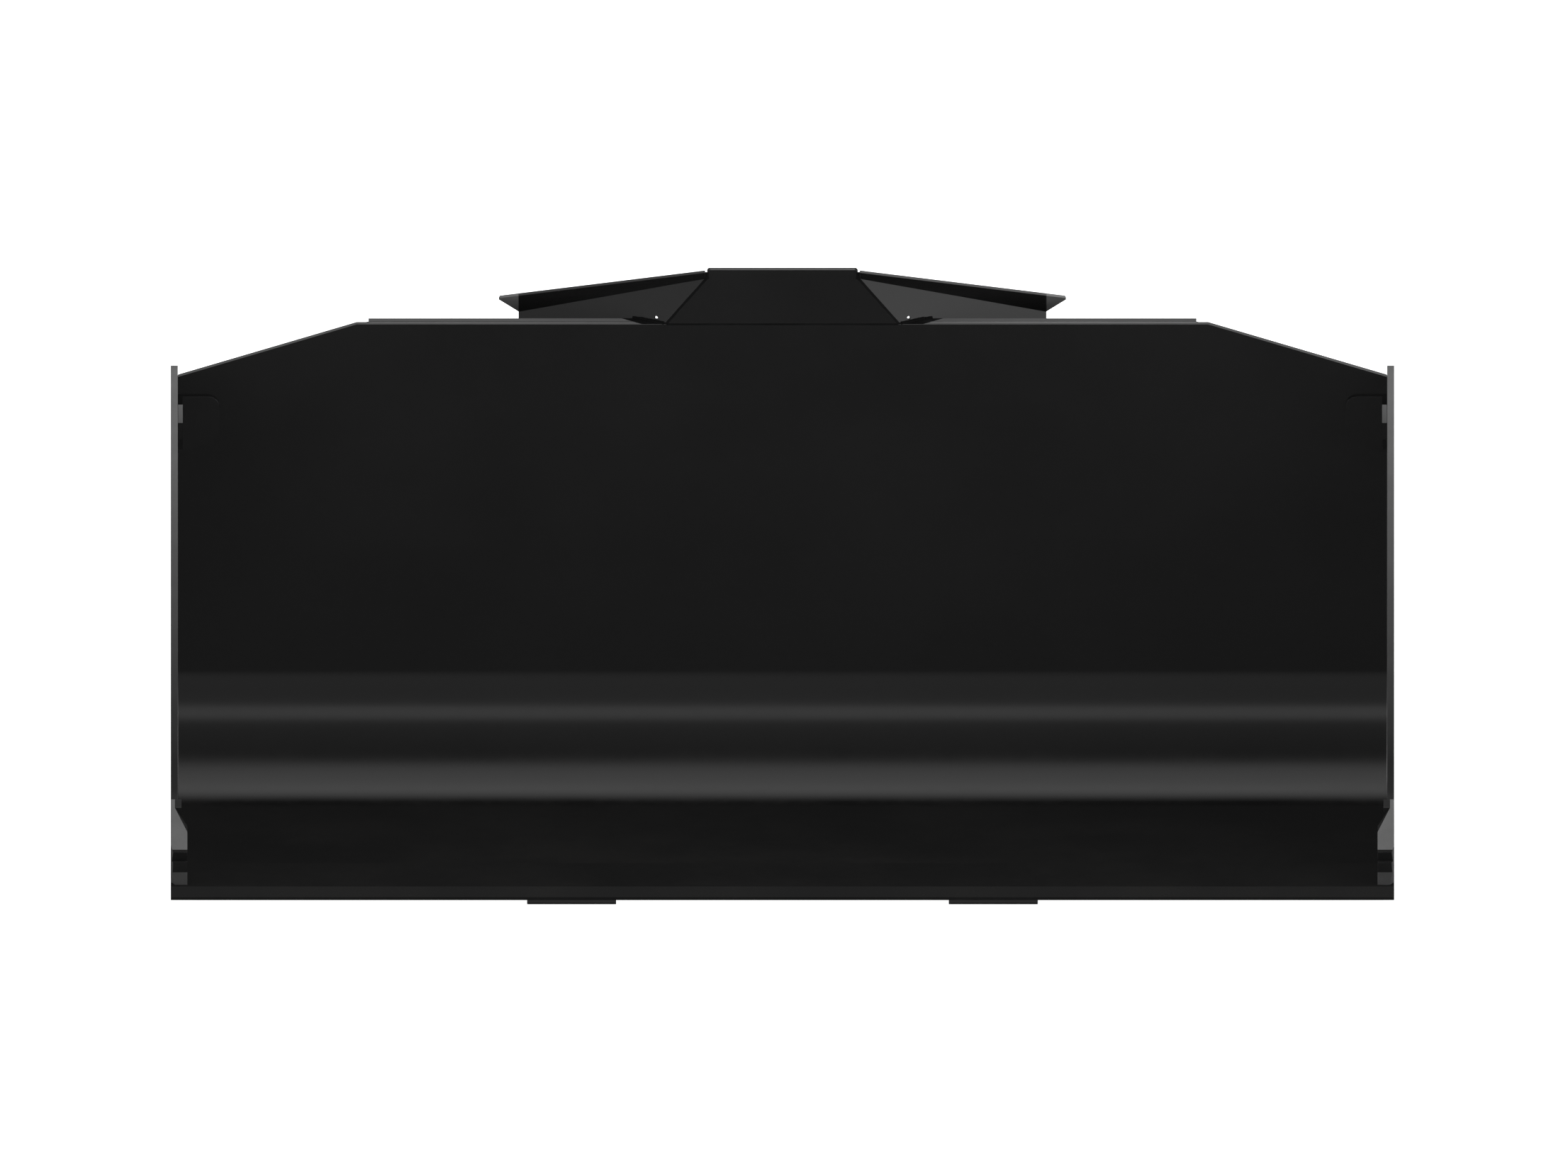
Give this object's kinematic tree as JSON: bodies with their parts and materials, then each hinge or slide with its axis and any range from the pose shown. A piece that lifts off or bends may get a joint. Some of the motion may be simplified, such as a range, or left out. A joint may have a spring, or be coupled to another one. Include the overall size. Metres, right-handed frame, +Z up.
{
  "type": "loader bucket",
  "caption": "Compact wheel loader bucket with a rolled shell, side plates, bevelled cutting edge, wear bars, swept spill guard and quick-coupler hangers.",
  "frame": {"origin": "on the ground, under the middle of the bounding box", "axes": "+X across the bucket, +Y back towards the loader, so the cutting edge is at -Y, +Z up"},
  "size_m": [2.06, 0.953, 0.9723],
  "materials": {
    "black_paint": "satin black paint on steel plate",
    "bare_steel": "machined and greased steel"
  },
  "bodies": {
    "root": {"shell": "black_paint", "side_plate_left": "black_paint", "side_plate_right": "black_paint", "cutting_edge": "black_paint", "corner_guard_left": "black_paint", "corner_guard_right": "black_paint", "wear_bar_left": "black_paint", "wear_bar_right": "black_paint", "heel_wear_strip_left": "black_paint", "heel_wear_strip_right": "black_paint", "lip_bar": "black_paint", "spill_guard_plate": "black_paint", "spill_guard_wing_left": "black_paint", "spill_guard_wing_right": "black_paint", "corner_bracket_left": "black_paint", "corner_bracket_right": "black_paint", "hanger_left_inner": "black_paint", "hanger_left_outer": "black_paint", "hanger_right_inner": "black_paint", "hanger_right_outer": "black_paint", "hook_pin_left": "bare_steel", "hook_pin_right": "bare_steel", "lock_bush_left_inner": "bare_steel", "lock_bush_left_outer": "bare_steel", "lock_bush_right_inner": "bare_steel", "lock_bush_right_outer": "bare_steel", "rear_channel": "black_paint", "rear_rib_left": "black_paint", "rear_rib_right": "black_paint"}
  },
  "joints": []
}
